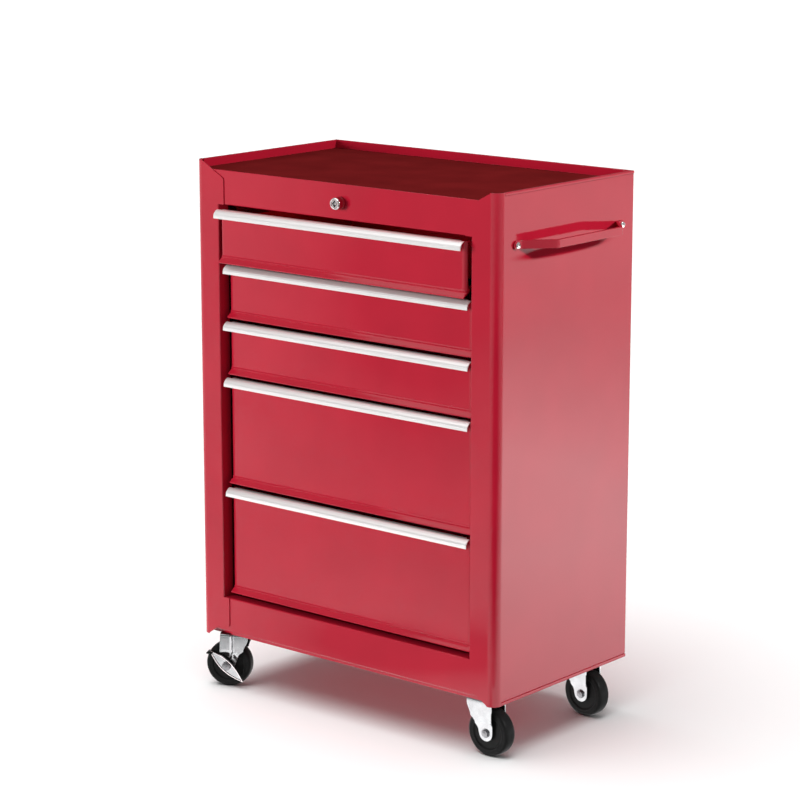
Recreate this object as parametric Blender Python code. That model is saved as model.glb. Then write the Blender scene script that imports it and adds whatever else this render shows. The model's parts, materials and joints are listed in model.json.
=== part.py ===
"""Rolling tool cart: a folded-steel cabinet with an open tray on top, five drawers on slide
rails, a cam lock with a rear lock bar, a side handle and four swivel casters, two with brakes.

Local cabinet coordinates, used for every dimension below: x from the middle of the cabinet,
y back from its front face, z up from its lower edge.  ORIGIN moves them to the part's frame."""
import math

import bmesh
import bpy
from mathutils import Matrix, Vector

# ---- cabinet -------------------------------------------------------------------------------
WIDTH = 0.577
DEPTH = 0.320
HEIGHT = 0.738
GROUND = 0.085                 # cabinet's lower edge above the floor
SHEET = 0.0012                 # folded steel sheet
CORNER_R = 0.0144              # outer radius of the front vertical corners
GAP = 0.0003                   # clearance between touching pieces
ORIGIN = Vector((-0.01732, -0.15125, GROUND))

HALF = WIDTH / 2
OPEN_X = 0.2415                # drawer opening: half width, lower and upper edge
OPEN_Z0 = 0.0645
OPEN_Z1 = 0.6745
TAB_X = 0.2305                 # inner edge of the post's tabs over apron and bottom rail
POST_RETURN = 0.021            # depth of the post's return along the opening
APRON_Z1 = 0.7260
RAIL_Z0 = 0.0105
TRAY_FLOOR = 0.7249            # upper side of the tray floor
RIM_W = 0.0035                 # width of the folded tray rim
HEM = 0.0044                   # height of the rim folded over the side
PAN_EDGE = 0.0048              # visible edge of the bottom pan
PAN_FLOOR = 0.0062             # underside of the pan's floor, where the casters bolt on

# ---- drawers: (lower lip, lower edge of the pull), top to bottom ----------------------------
DRAWERS = [
    (0.5868, 0.6557),
    (0.5009, 0.5697),
    (0.4140, 0.4832),
    (0.2442, 0.3968),
    (0.0706, 0.2258),
]
PULL_HALF = [0.2354, 0.2345, 0.2356, 0.2356, 0.2345]
PULL_H = 0.0127
FACE_Y = 0.0140                # closed drawer face behind the front plane
TOP_DRAWER_OUT = 0.0175        # the top drawer stands this far out at rest
FACE_HALF = 0.2354
TUB_HALF = 0.2222
TUB_LENGTH = 0.286
TUB_FLOOR = 0.0100             # underside of the tub above the front's lower lip
TUB_DROP = 0.0120              # the tub's walls stay this far below the top of the front
WALL = 0.0012
FRONT_DEPTH = 0.0058           # the front is a shallow pan folded back this far
LIP_OUT = 0.0052               # how far the drawer's lower lip flares forward
RUNNER_Z = 0.016               # height of a drawer's runner above its lower lip
RUNNER_H = 0.0110
RUNNER_T = 0.0014
RUNNER_X0 = 0.2225
RUNNER_X1 = 0.2330
CHANNEL_X0 = 0.2275
CHANNEL_X1 = 0.2364

# ---- side handle -----------------------------------------------------------------------------
HANDLE_Z = 0.6625
HANDLE_H = 0.0118
HANDLE_T = 0.0045
HANDLE_OUT = 0.038
HANDLE_Y = (0.0330, 0.0480, 0.0883, 0.2404, 0.2790, 0.2960)

# ---- lock ------------------------------------------------------------------------------------
LOCK_Z = 0.6986
LOCK_R = 0.0095
LOCK_OUT = 0.0125
BAR_LIFT = 0.008

# ---- casters ---------------------------------------------------------------------------------
WHEEL_R = 0.036
WHEEL_W = 0.0215
TRAIL = 0.021
SWIVEL_X = 0.2355
SWIVEL_Y = (0.035, 0.268)
FORK_INNER = 0.0125
FORK_T = 0.0018
AXLE_R = 0.0040
CASTERS = [                    # name, side, front 0 or rear 1, swivel angle, has a brake
    ("fr", 1, 0, 0.0, False),
    ("rr", 1, 1, -4.0, False),
    ("fl", -1, 0, 207.0, True),
    ("rl", -1, 1, 196.0, True),
]

MATERIALS = {
    "red_paint": ((0.50, 0.02, 0.04, 1), 0.25, 0.0),
    "tray_paint": ((0.13, 0.0095, 0.011, 1), 0.8, 0.0),
    "zinc": ((0.62, 0.64, 0.65, 1), 0.30, 1.0),
    "aluminium": ((0.80, 0.80, 0.80, 1), 0.30, 1.0),
    "chrome": ((0.80, 0.80, 0.82, 1), 0.10, 1.0),
    "wheel_rubber": ((0.03, 0.03, 0.03, 1), 0.60, 0.0),
}


def clear_scene():
    """Remove every object the file starts with."""
    for obj in list(bpy.data.objects):
        bpy.data.objects.remove(obj, do_unlink=True)


def material(name):
    """The named Principled material, made once."""
    mat = bpy.data.materials.get(name)
    if mat is None:
        colour, rough, metal = MATERIALS[name]
        mat = bpy.data.materials.new(name)
        mat.use_nodes = True
        bsdf = mat.node_tree.nodes["Principled BSDF"]
        bsdf.inputs["Base Color"].default_value = colour
        bsdf.inputs["Roughness"].default_value = rough
        bsdf.inputs["Metallic"].default_value = metal
    return mat


def add_object(name, bm, mat, place=None, smooth=False):
    """Turn a bmesh into an object; place is its world matrix."""
    bmesh.ops.recalc_face_normals(bm, faces=bm.faces)
    mesh = bpy.data.meshes.new(name)
    bm.to_mesh(mesh)
    bm.free()
    if smooth:
        mesh.shade_smooth()
        mesh.set_sharp_from_angle(angle=math.radians(35))
    obj = bpy.data.objects.new(name, mesh)
    bpy.context.scene.collection.objects.link(obj)
    obj.matrix_world = place if place is not None else Matrix.Translation(ORIGIN)
    if mat:
        obj.data.materials.append(material(mat))
    return obj


def prism(bm, outline, axis, low, high):
    """Extrude a closed outline along an axis.  The outline is (y, z), (x, z) or (x, y)."""
    def point(u, v, w):
        if axis == "X":
            return (w, u, v)
        if axis == "Y":
            return (u, w, v)
        return (u, v, w)
    first = [bm.verts.new(point(u, v, low)) for u, v in outline]
    last = [bm.verts.new(point(u, v, high)) for u, v in outline]
    count = len(outline)
    bm.faces.new(first)
    bm.faces.new(list(reversed(last)))
    for i in range(count):
        j = (i + 1) % count
        bm.faces.new((first[i], last[i], last[j], first[j]))
    return bm


def prism_object(name, outline, axis, low, high, mat=None, place=None):
    """A prism as its own object."""
    return add_object(name, prism(bmesh.new(), outline, axis, low, high), mat, place)


def box_outline(u0, v0, u1, v1):
    """Corners of a rectangle."""
    return [(u0, v0), (u1, v0), (u1, v1), (u0, v1)]


def arc(cu, cv, radius, start, end, steps):
    """Points on an arc, angles in degrees."""
    points = []
    for i in range(steps + 1):
        a = math.radians(start + (end - start) * i / steps)
        points.append((cu + radius * math.cos(a), cv + radius * math.sin(a)))
    return points


def spin(bm, profile, axis, segments, centre=(0.0, 0.0)):
    """Turn a closed (radius, along) profile round an axis; the profile stays off the axis."""
    rings = []
    for i in range(segments):
        a = 2 * math.pi * i / segments
        ring = []
        for radius, along in profile:
            u = centre[0] + radius * math.cos(a)
            v = centre[1] + radius * math.sin(a)
            if axis == "Y":
                ring.append(bm.verts.new((u, along, v)))
            elif axis == "X":
                ring.append(bm.verts.new((along, u, v)))
            else:
                ring.append(bm.verts.new((u, v, along)))
        rings.append(ring)
    count = len(profile)
    for i in range(segments):
        here = rings[i]
        there = rings[(i + 1) % segments]
        for k in range(count):
            m = (k + 1) % count
            bm.faces.new((here[k], here[m], there[m], there[k]))
    return bm


def turned(bm, profile, axis, segments, centre=(0.0, 0.0)):
    """Turn an open (radius, along) profile into a solid closed by flat discs at both ends."""
    rings = []
    for radius, along in profile:
        ring = []
        for i in range(segments):
            a = 2 * math.pi * i / segments
            u = centre[0] + radius * math.cos(a)
            v = centre[1] + radius * math.sin(a)
            if axis == "Y":
                ring.append(bm.verts.new((u, along, v)))
            elif axis == "X":
                ring.append(bm.verts.new((along, u, v)))
            else:
                ring.append(bm.verts.new((u, v, along)))
        rings.append(ring)
    for here, there in zip(rings, rings[1:]):
        for i in range(segments):
            j = (i + 1) % segments
            bm.faces.new((here[i], here[j], there[j], there[i]))
    bm.faces.new(rings[0])
    bm.faces.new(rings[-1])
    return bm


def combine(target, other, operation):
    """Exact boolean of one object with another, which becomes a hidden guide."""
    mod = target.modifiers.new(operation.lower(), "BOOLEAN")
    mod.operation = operation
    mod.solver = "EXACT"
    mod.object = other
    other.hide_render = True
    other.display_type = "WIRE"


def mirrored(outline):
    """The outline reflected in x, for the left-hand piece."""
    return [(-u, v) for u, v in outline]


def drill(target, radius, low, high, segments, centre=(0.0, 0.0), place=None):
    """A round hole along y."""
    bore = turned(bmesh.new(), [(radius, low), (radius, high)], "Y", segments, centre)
    combine(target, add_object(target.name + "_hole", bore, None, place), "DIFFERENCE")


# ---- cabinet pieces ----------------------------------------------------------------------------
def make_side(side):
    """Side panel whose front edge wraps round into the post beside the drawers."""
    name = "side_right" if side > 0 else "side_left"
    inner_r = CORNER_R - SHEET
    cx = HALF - CORNER_R
    outline = [(HALF - 0.014, DEPTH), (HALF, DEPTH)]
    outline += arc(cx, CORNER_R, CORNER_R, 0, -90, 6)
    outline += [(TAB_X, 0.0), (TAB_X, SHEET)]
    outline += arc(cx, CORNER_R, inner_r, -90, 0, 6)
    outline += [(HALF - SHEET, DEPTH - SHEET), (HALF - 0.014, DEPTH - SHEET)]
    top_cut = [(0.2741, 0.7372), (0.2345, 0.7160), (0.2316, 0.7134), (0.2305, 0.7090)]
    top_cut += [(0.2205, 0.7090), (0.2205, 0.7480), (0.2741, 0.7480)]
    low_cut = [(0.2741, 0.0008), (0.2600, 0.0105), (0.2500, 0.0166), (0.2340, 0.0178)]
    low_cut += [(0.2314, 0.0190), (0.2305, 0.0215), (0.2205, 0.0215), (0.2205, -0.0100),
                (0.2741, -0.0100)]
    window = box_outline(0.2205, OPEN_Z0, OPEN_X, OPEN_Z1)
    hem = box_outline(CORNER_R + 0.0008, HEIGHT - HEM - GAP, DEPTH + 0.01, HEIGHT + 0.01)
    foot = box_outline(CORNER_R + 0.0016, -0.01, DEPTH + 0.01, PAN_EDGE + GAP)
    back = OPEN_X + SHEET
    returned = box_outline(OPEN_X, SHEET / 2, back, POST_RETURN)
    if side < 0:
        outline, top_cut, low_cut, window, returned = [
            mirrored(o) for o in (outline, top_cut, low_cut, window, returned)]
    panel = prism_object(name, outline, "Z", 0.0, HEIGHT, "red_paint")
    for tag, cut in (("top", top_cut), ("low", low_cut), ("window", window)):
        combine(panel, prism_object(name + "_" + tag, cut, "Y", -0.005, 0.008), "DIFFERENCE")
    x0, x1 = (0.20, 0.30) if side > 0 else (-0.30, -0.20)
    for tag, cut in (("hem", hem), ("foot", foot)):
        combine(panel, prism_object(name + "_" + tag, cut, "X", x0, x1), "DIFFERENCE")
    combine(panel, prism_object(name + "_return", returned, "Z", OPEN_Z0, OPEN_Z1), "UNION")


def make_tray():
    """Top tray: floor, low walls and a rim folded over the side and back panels."""
    front = CORNER_R + 0.0014
    step = HEIGHT - HEM
    in_x = HALF - SHEET - 2 * GAP
    in_y = DEPTH - SHEET - 2 * GAP
    floor = [(-in_x, front), (-0.2795, 0.0052), (-0.2700, 0.0031), (0.2700, 0.0031),
             (0.2795, 0.0052), (in_x, front), (in_x, in_y), (-in_x, in_y)]
    tray = prism_object("top_tray", floor, "Z", TRAY_FLOOR - SHEET, step, "tray_paint")
    rim = prism_object("tray_rim", box_outline(-HALF, front, HALF, DEPTH), "Z", step, HEIGHT)
    combine(tray, rim, "UNION")
    wall = HALF - RIM_W
    pocket = prism_object("tray_pocket", box_outline(-wall, -0.01, wall, DEPTH - RIM_W), "Z",
                          TRAY_FLOOR, HEIGHT + 0.01)
    combine(tray, pocket, "DIFFERENCE")


def make_apron():
    """Front apron over the drawers, with the hole for the lock."""
    y0 = SHEET + GAP
    y1 = y0 + SHEET
    outline = [(y0, OPEN_Z1), (0.0150, OPEN_Z1), (0.0150, OPEN_Z1 + SHEET), (y1, OPEN_Z1 + SHEET),
               (y1, APRON_Z1), (y0, APRON_Z1)]
    apron = prism_object("front_apron", outline, "X", -0.2400, 0.2400, "red_paint")
    drill(apron, 0.0084, -0.01, 0.01, 24, (0, LOCK_Z))


def make_bottom():
    """Bottom rail under the drawers and the bottom pan that carries the casters."""
    y0 = SHEET + GAP
    y1 = y0 + SHEET
    outline = [(y0, RAIL_Z0), (0.0120, RAIL_Z0), (0.0120, RAIL_Z0 + SHEET), (y1, RAIL_Z0 + SHEET),
               (y1, OPEN_Z0 - SHEET), (0.0205, OPEN_Z0 - SHEET), (0.0205, OPEN_Z0), (y0, OPEN_Z0)]
    prism_object("bottom_rail", outline, "X", -0.2400, 0.2400, "red_paint")
    front = CORNER_R + 0.0022
    edge = box_outline(-HALF, front, HALF, DEPTH)
    pan = prism_object("bottom_pan", edge, "Z", 0.0, PAN_EDGE, "red_paint")
    in_x = HALF - SHEET - GAP
    in_y = DEPTH - SHEET - GAP
    raised = prism_object("pan_floor", box_outline(-in_x, front, in_x, in_y), "Z", PAN_EDGE - 0.0012,
                          PAN_FLOOR + SHEET)
    combine(pan, raised, "UNION")
    wall = HALF - 0.0035
    under = prism_object("pan_under", box_outline(-wall, front + 0.003, wall, DEPTH - 0.0035), "Z",
                         -0.01, PAN_FLOOR)
    combine(pan, under, "DIFFERENCE")


def make_back():
    """Flat back panel inside the side panels' rear flanges."""
    x = HALF - SHEET - GAP
    y1 = DEPTH - SHEET - GAP
    outline = box_outline(-x, y1 - SHEET, x, y1)
    prism_object("back_panel", outline, "Z", PAN_FLOOR + SHEET + GAP, TRAY_FLOOR - SHEET - GAP,
                 "red_paint")


def make_rack(side):
    """Slide rack: two uprights with a C channel for each drawer's runner."""
    name = "rack_right" if side > 0 else "rack_left"
    t = SHEET

    def flip(outline):
        return outline if side > 0 else mirrored(outline)
    web = CHANNEL_X1
    z0 = PAN_FLOOR + SHEET + GAP
    z1 = 0.700
    far = HALF - SHEET - GAP
    parts = []
    for y0, y1 in ((0.034, 0.062), (0.262, 0.290)):
        outline = [(web, y0), (far, y0), (far, y1), (far - t, y1), (far - t, y0 + t), (web + t, y0 + t),
                   (web + t, y1), (web, y1)]
        parts.append(prism_object(name + "_post", flip(outline), "Z", z0, z1))
    for low, _ in DRAWERS:
        z = low + RUNNER_Z
        c = [(CHANNEL_X0, z - 0.0020), (web + t / 2, z - 0.0020), (web + t / 2, z + RUNNER_H + 0.0020),
             (CHANNEL_X0, z + RUNNER_H + 0.0020), (CHANNEL_X0, z + RUNNER_H + 0.0008),
             (web - t, z + RUNNER_H + 0.0008), (web - t, z - 0.0008), (CHANNEL_X0, z - 0.0008)]
        parts.append(prism_object(name + "_rail", flip(c), "Y", 0.0260, 0.2960))
    rack = parts[0]
    rack.name = name
    rack.data.materials.append(material("zinc"))
    for other in parts[1:]:
        combine(rack, other, "UNION")


def make_handle():
    """Side handle: a flat bar bent out from two feet, held by two domed screws."""
    x0 = HALF + GAP
    y = HANDLE_Y
    out = HALF + HANDLE_OUT
    t = HANDLE_T
    foot = 0.0025
    outline = [(x0, y[0]), (x0, y[1] + 0.004), (out - t, y[2] + 0.0025), (out - t, y[3] - 0.0025),
               (x0, y[4] - 0.004), (x0, y[5]), (x0 + foot, y[5]), (x0 + foot, y[4]),
               (out, y[3]), (out, y[2]), (x0 + foot, y[1]), (x0 + foot, y[0])]
    low = HANDLE_Z - HANDLE_H / 2
    prism_object("side_handle", outline, "Z", low, low + HANDLE_H, "red_paint")
    start = x0 + foot + GAP
    profile = [(0.0048, start), (0.0048, start + 0.0010), (0.0036, start + 0.0026),
               (0.0012, start + 0.0034)]
    for tag, where in (("front", (y[0] + y[1]) / 2), ("rear", (y[4] + y[5]) / 2)):
        head = turned(bmesh.new(), profile, "X", 16, (where, HANDLE_Z))
        add_object("handle_screw_" + tag, head, "chrome", smooth=True)


# ---- drawers -----------------------------------------------------------------------------------
def make_drawer(index):
    """Drawer: folded front with a flared lower lip, open tub, aluminium pull and two runners."""
    low, pull = DRAWERS[index]
    name = "drawer_%d" % (index + 1)
    face = FACE_Y - (TOP_DRAWER_OUT if index == 0 else 0.0)
    top = pull + PULL_H - 0.0012
    place = Matrix.Translation(ORIGIN + Vector((0.0, face, 0.0)))
    lip = LIP_OUT
    front = [(FRONT_DEPTH, low + 0.0090), (FRONT_DEPTH, top), (0.0, top), (0.0, low + 0.0120),
             (-0.0008, low + 0.0104), (-0.0002, low + 0.0084), (-0.0018, low + 0.0056),
             (-lip, low + 0.0022), (-lip, low + 0.0004), (-lip + 0.0014, low), (0.0006, low + 0.0044)]
    box = prism_object(name + "_tub", front, "X", -FACE_HALF, FACE_HALF, "red_paint", place)
    back = FRONT_DEPTH
    hollow = prism_object(name + "_hollow", box_outline(WALL, low + 0.0132, back + 0.01, top - WALL),
                          "X", -FACE_HALF + WALL, FACE_HALF - WALL, None, place)
    combine(box, hollow, "DIFFERENCE")
    floor = low + TUB_FLOOR
    rim = top - TUB_DROP
    outer = prism_object(name + "_outer", box_outline(back - WALL, floor, TUB_LENGTH, rim),
                         "X", -TUB_HALF, TUB_HALF, None, place)
    combine(box, outer, "UNION")
    half = TUB_HALF - WALL
    inside = box_outline(back, floor + WALL, TUB_LENGTH - WALL, top + 0.02)
    inner = prism_object(name + "_inner", inside, "X", -half, half, None, place)
    combine(box, inner, "DIFFERENCE")
    t = WALL
    g = GAP
    outer_path = [(-g, pull + 0.0020), (-g, pull + PULL_H), (-0.0055, pull + PULL_H),
                  (-0.0083, pull + 0.0114), (-0.0108, pull + 0.0094), (-0.0128, pull + 0.0072),
                  (-0.0138, pull + 0.0048), (-0.0140, pull)]
    inner_path = [(-0.0140 + t, pull), (-0.0138 + t, pull + 0.0045), (-0.0119, pull + 0.0064),
                  (-0.0101, pull + 0.0084), (-0.0078, pull + 0.0102), (-0.0052, pull + PULL_H - t),
                  (-g - t, pull + PULL_H - t), (-g - t, pull + 0.0020)]
    prism_object(name + "_pull", outer_path + inner_path, "X", -PULL_HALF[index], PULL_HALF[index],
                 "aluminium", place)
    z = low + RUNNER_Z
    for side, tag in ((1, "right"), (-1, "left")):
        web = RUNNER_X0 + RUNNER_T
        outline = [(RUNNER_X0, z), (RUNNER_X1, z), (RUNNER_X1, z + RUNNER_T), (web, z + RUNNER_T),
                   (web, z + RUNNER_H - RUNNER_T), (RUNNER_X1, z + RUNNER_H - RUNNER_T),
                   (RUNNER_X1, z + RUNNER_H), (RUNNER_X0, z + RUNNER_H)]
        if side < 0:
            outline = mirrored(outline)
        prism_object(name + "_runner_" + tag, outline, "Y", 0.0150, TUB_LENGTH - 0.002, "zinc", place)


# ---- lock --------------------------------------------------------------------------------------
def make_lock():
    """Cam lock through the apron: housing, nut, turning plug, long rod and rear lock bar."""
    at = (0.0, LOCK_Z)
    bore = 0.0062
    barrel = 0.0080
    housing = [(bore, -LOCK_OUT), (barrel, -LOCK_OUT), (LOCK_R, -LOCK_OUT + 0.0016),
               (LOCK_R, SHEET - 0.0002), (barrel, SHEET - 0.0002), (barrel, 0.0145), (bore, 0.0145)]
    add_object("lock_housing", spin(bmesh.new(), housing, "Y", 24, at), "chrome", smooth=True)
    hexagon = turned(bmesh.new(), [(0.0122, 0.0030), (0.0122, 0.0065)], "Y", 6, at)
    nut = add_object("lock_nut", hexagon, "zinc")
    drill(nut, barrel + GAP, 0.0, 0.01, 24, at)
    plug_at = Matrix.Translation(ORIGIN + Vector((0.0, 0.0, LOCK_Z)))
    core = turned(bmesh.new(), [(0.0058, -LOCK_OUT + 0.0010), (0.0058, 0.0170)], "Y", 20)
    plug = add_object("lock_plug", core, "chrome", plug_at, smooth=True)
    key = prism_object("key_slot", box_outline(-0.0009, -0.0036, 0.0009, 0.0036), "Y", -0.02,
                       -LOCK_OUT + 0.0040, None, plug_at)
    combine(plug, key, "DIFFERENCE")
    rod = prism_object("lock_rod", box_outline(-0.0020, -0.0020, 0.0020, 0.0020), "Y", 0.0173, 0.3025,
                       "zinc", plug_at)
    crank = prism_object("lock_crank", box_outline(-0.0045, -0.0045, 0.0045, 0.0045), "Y",
                         0.3010, 0.3040, None, plug_at)
    combine(rod, crank, "UNION")
    arm = prism_object("lock_arm", box_outline(0.0030, -0.0030, 0.0160, 0.0030), "Y",
                       0.3020, 0.3040, None, plug_at)
    combine(rod, arm, "UNION")
    prism_object("lock_bar", box_outline(-0.0080, 0.3068, 0.0080, 0.3084), "Z", 0.040, 0.680, "zinc")
    for tag, z in (("upper", 0.640), ("lower", 0.070)):
        y0, y1 = 0.3052, DEPTH - 2 * SHEET - 2 * GAP
        outline = [(-0.0180, y1 - 0.0012), (-0.0105, y1 - 0.0012), (-0.0105, y0), (0.0105, y0),
                   (0.0105, y1 - 0.0012), (0.0180, y1 - 0.0012), (0.0180, y1), (0.0092, y1),
                   (0.0092, y0 + 0.0012), (-0.0092, y0 + 0.0012), (-0.0092, y1), (-0.0180, y1)]
        prism_object("bar_guide_" + tag, outline, "Z", z, z + 0.018, "zinc")


# ---- casters -----------------------------------------------------------------------------------
def make_wheel(name, place):
    """Moulded wheel with a recessed web, turned round its axle."""
    w = WHEEL_W / 2
    half = [(AXLE_R + 0.0004, w + 0.0010), (0.0095, w + 0.0010), (0.0110, w - 0.0018),
            (0.0240, w - 0.0018), (0.0262, w), (0.0325, w), (0.0346, w - 0.0012),
            (0.0357, w - 0.0040), (WHEEL_R, w - 0.0075)]
    profile = half + [(r, -y) for r, y in reversed(half)]
    add_object(name, spin(bmesh.new(), profile, "Y", 32), "wheel_rubber",
               place @ Matrix.Translation((TRAIL, 0, WHEEL_R)), smooth=True)


def make_fork(name, place):
    """Pressed fork: crown under the plate and two legs that narrow to the axle."""
    leg = [(-0.0125, 0.0800), (-0.0118, 0.0785), (-0.0062, 0.0595), (0.0032, 0.0525), (0.0085, 0.0355)]
    leg += arc(TRAIL, WHEEL_R, 0.0120, 190, 350, 6)
    leg += [(0.0328, 0.0600), (0.0322, 0.0800), (0.0322, 0.0842), (-0.0125, 0.0842)]
    outer = FORK_INNER + FORK_T
    fork = prism_object(name, leg, "Y", -outer, -FORK_INNER, "zinc", place)
    combine(fork, prism_object(name + "_far", leg, "Y", FORK_INNER, outer, None, place), "UNION")
    roof = box_outline(-0.0125, -outer + 0.0006, 0.0316, outer - 0.0006)
    combine(fork, prism_object(name + "_crown", roof, "Z", 0.0822, 0.0842, None, place), "UNION")
    race = turned(bmesh.new(), [(0.0140, 0.0835), (0.0140, 0.0862), (0.0110, 0.0884)], "Z", 20)
    combine(fork, add_object(name + "_race", race, None, place), "UNION")
    drill(fork, AXLE_R + GAP, -0.03, 0.03, 16, (TRAIL, WHEEL_R), place)


def make_caster(tag, side, rear, angle, brake):
    """One swivel caster: plate on the pan, fork, axle, wheel and, on two of them, a brake lever."""
    name = "caster_" + tag
    foot = Vector((ORIGIN.x + side * SWIVEL_X, ORIGIN.y + SWIVEL_Y[rear], 0.0))
    under = GROUND + PAN_FLOOR - GAP
    plate = Matrix.Translation(foot)
    place = plate @ Matrix.Rotation(math.radians(angle), 4, "Z")
    x1 = min(0.030, HALF - 0.0045 - SWIVEL_X)
    y0 = -0.0130 if not rear else -0.030
    outline = [(-0.030, y0), (x1, y0), (x1, 0.030), (-0.030, 0.030)] if side > 0 else \
        [(-x1, y0), (0.030, y0), (0.030, 0.030), (-x1, 0.030)]
    prism_object(name + "_plate", outline, "Z", under - 0.0022, under, "zinc", plate)
    make_fork(name + "_fork", place)
    make_wheel(name + "_wheel", place)
    end = FORK_INNER + FORK_T + GAP
    far = 0.0225 if brake else end
    profile = [(0.0068, -end - 0.0034), (0.0068, -end), (AXLE_R, -end), (AXLE_R, far), (0.0068, far),
               (0.0068, far + 0.0034)]
    add_object(name + "_axle", turned(bmesh.new(), profile, "Y", 16), "zinc",
               place @ Matrix.Translation((TRAIL, 0, WHEEL_R)), smooth=True)
    if brake:
        make_brake(name + "_brake", place)


def make_brake(name, place):
    """Foot brake on the axle: an eye-shaped plate with a web and a pedal bent outward."""
    here = place @ Matrix.Translation((TRAIL, 0, WHEEL_R)) @ Matrix.Rotation(math.radians(-42), 4, "Y")
    eye = [(-0.032, -0.0008), (-0.016, -0.0062), (0.0, -0.0084), (0.016, -0.0062), (0.032, -0.0008),
           (0.032, 0.0008), (0.016, 0.0062), (0.0, 0.0084), (-0.016, 0.0062), (-0.032, 0.0008)]
    y1 = 0.0222
    lever = prism_object(name, eye, "Y", y1 - 0.0014, y1, "zinc", here)
    web = [(0.004, 0.0060), (0.016, 0.0045), (0.034, -0.0006), (0.034, 0.0009), (0.016, 0.0062),
           (0.004, 0.0078)]
    combine(lever, prism_object(name + "_web", web, "Y", 0.0150, y1 - 0.0004, None, here), "UNION")
    pedal = [(0.0300, -0.0010), (0.0360, -0.0040), (0.0372, -0.0026), (0.0310, 0.0012)]
    combine(lever, prism_object(name + "_pedal", pedal, "Y", 0.0150, 0.0300, None, here), "UNION")
    drill(lever, AXLE_R + GAP, 0.01, 0.03, 16, (0.0, 0.0), here)


def main():
    clear_scene()
    for side in (1, -1):
        make_side(side)
        make_rack(side)
    make_tray()
    make_apron()
    make_bottom()
    make_back()
    make_handle()
    make_lock()
    for index in range(len(DRAWERS)):
        make_drawer(index)
    for caster in CASTERS:
        make_caster(*caster)


main()
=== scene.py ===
"""Looks of the rolling tool cart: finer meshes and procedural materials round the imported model.

Local cabinet coordinates, as in the design: x from the middle of the cabinet, y back from its
front face, z up from its lower edge.  ORIGIN, read from the frame, moves them to the row frame."""
import json
import math

import bmesh
import bpy
from mathutils import Matrix, Vector


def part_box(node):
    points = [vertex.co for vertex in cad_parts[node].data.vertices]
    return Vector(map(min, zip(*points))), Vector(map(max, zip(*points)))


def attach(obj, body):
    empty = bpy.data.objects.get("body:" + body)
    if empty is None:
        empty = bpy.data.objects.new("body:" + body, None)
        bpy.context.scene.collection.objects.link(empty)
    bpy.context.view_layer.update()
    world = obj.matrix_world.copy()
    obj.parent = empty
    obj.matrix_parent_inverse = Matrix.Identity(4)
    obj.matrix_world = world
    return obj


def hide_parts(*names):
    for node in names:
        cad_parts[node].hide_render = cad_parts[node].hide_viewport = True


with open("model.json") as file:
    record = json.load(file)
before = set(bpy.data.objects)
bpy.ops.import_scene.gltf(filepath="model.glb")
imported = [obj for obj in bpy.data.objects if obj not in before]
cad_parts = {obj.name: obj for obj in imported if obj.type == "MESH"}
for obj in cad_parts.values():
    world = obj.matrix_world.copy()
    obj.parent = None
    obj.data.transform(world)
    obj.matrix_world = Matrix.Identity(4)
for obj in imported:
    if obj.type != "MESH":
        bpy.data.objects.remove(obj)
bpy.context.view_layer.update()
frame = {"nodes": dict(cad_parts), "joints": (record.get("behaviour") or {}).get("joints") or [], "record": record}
JOINTS = {j["name"]: j for j in frame["joints"]}

# ---- sizes read from the frame -------------------------------------------------------------------
RIGHT_LO, RIGHT_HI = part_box("side_right")
LEFT_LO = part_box("side_left")[0]
PAN_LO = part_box("bottom_pan")[0]
TRAY_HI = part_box("top_tray")[1]
ORIGIN = Vector(((LEFT_LO.x + RIGHT_HI.x) / 2, RIGHT_LO.y, PAN_LO.z))
CABINET = Matrix.Translation(ORIGIN)
HALF = (RIGHT_HI.x - LEFT_LO.x) / 2
DEPTH = RIGHT_HI.y - RIGHT_LO.y
HEIGHT = TRAY_HI.z - PAN_LO.z

NEAR = 0.0001                  # two levels closer than this are the same
BEYOND = 0.01                  # how far a cutting shape runs past what it cuts

# ---- sizes of the folded sheet, as in the design -------------------------------------------------
SHEET = 0.0012
GAP = 0.0003
CORNER_R = 0.0144              # front vertical corners
FLANGE = 0.014                 # rear flange of a side panel
OPEN_X = 0.2415                # drawer opening: half width, lower and upper edge
OPEN_Z0 = 0.0645
OPEN_Z1 = 0.6745
TAB_X = 0.2305                 # inner edge of the post's tabs over apron and bottom rail
TAB_LOW = 0.7139               # inner end of the upper tab's sloping top edge
POST_RETURN = 0.021
FOLD_R = 0.0014                # fold of the sheet, on its centre line
APRON_Z1 = 0.7260
RAIL_Z0 = 0.0105
RAIL_HALF = 0.2620             # rail and apron run on behind the posts' tabs
APRON_HALF = 0.2550
TRAY_FLOOR = 0.7249
RIM_W = 0.0035
HEM = 0.0044
PAN_EDGE = 0.0048
PAN_FLOOR = 0.0062
PAN_LIP = 0.0035               # the pan's folded edge is this wide
SEAM = 0.0016                  # open seam between the side panels and the pan's folded edge

# ---- drawers -------------------------------------------------------------------------------------
DRAWER_COUNT = 5
WALL = 0.0012
FRONT_DEPTH = 0.0058
FACE_HALF = 0.2346
END_R = 0.0078                 # radius that the front's ends are rolled back to
END_SWEEP = math.radians(62)
END_STEPS = 8
TUB_HALF = 0.2222
TUB_LENGTH = 0.286
LIP_OUT = 0.0052
TUB_BASE = 0.0100              # the tub's underside and rim, from the front's lower and upper edge
TUB_RIM = 0.0120
PULL_H = 0.0127
PULL_NOTCH = 0.0085            # length that the pull's flange stops short of its ends

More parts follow.
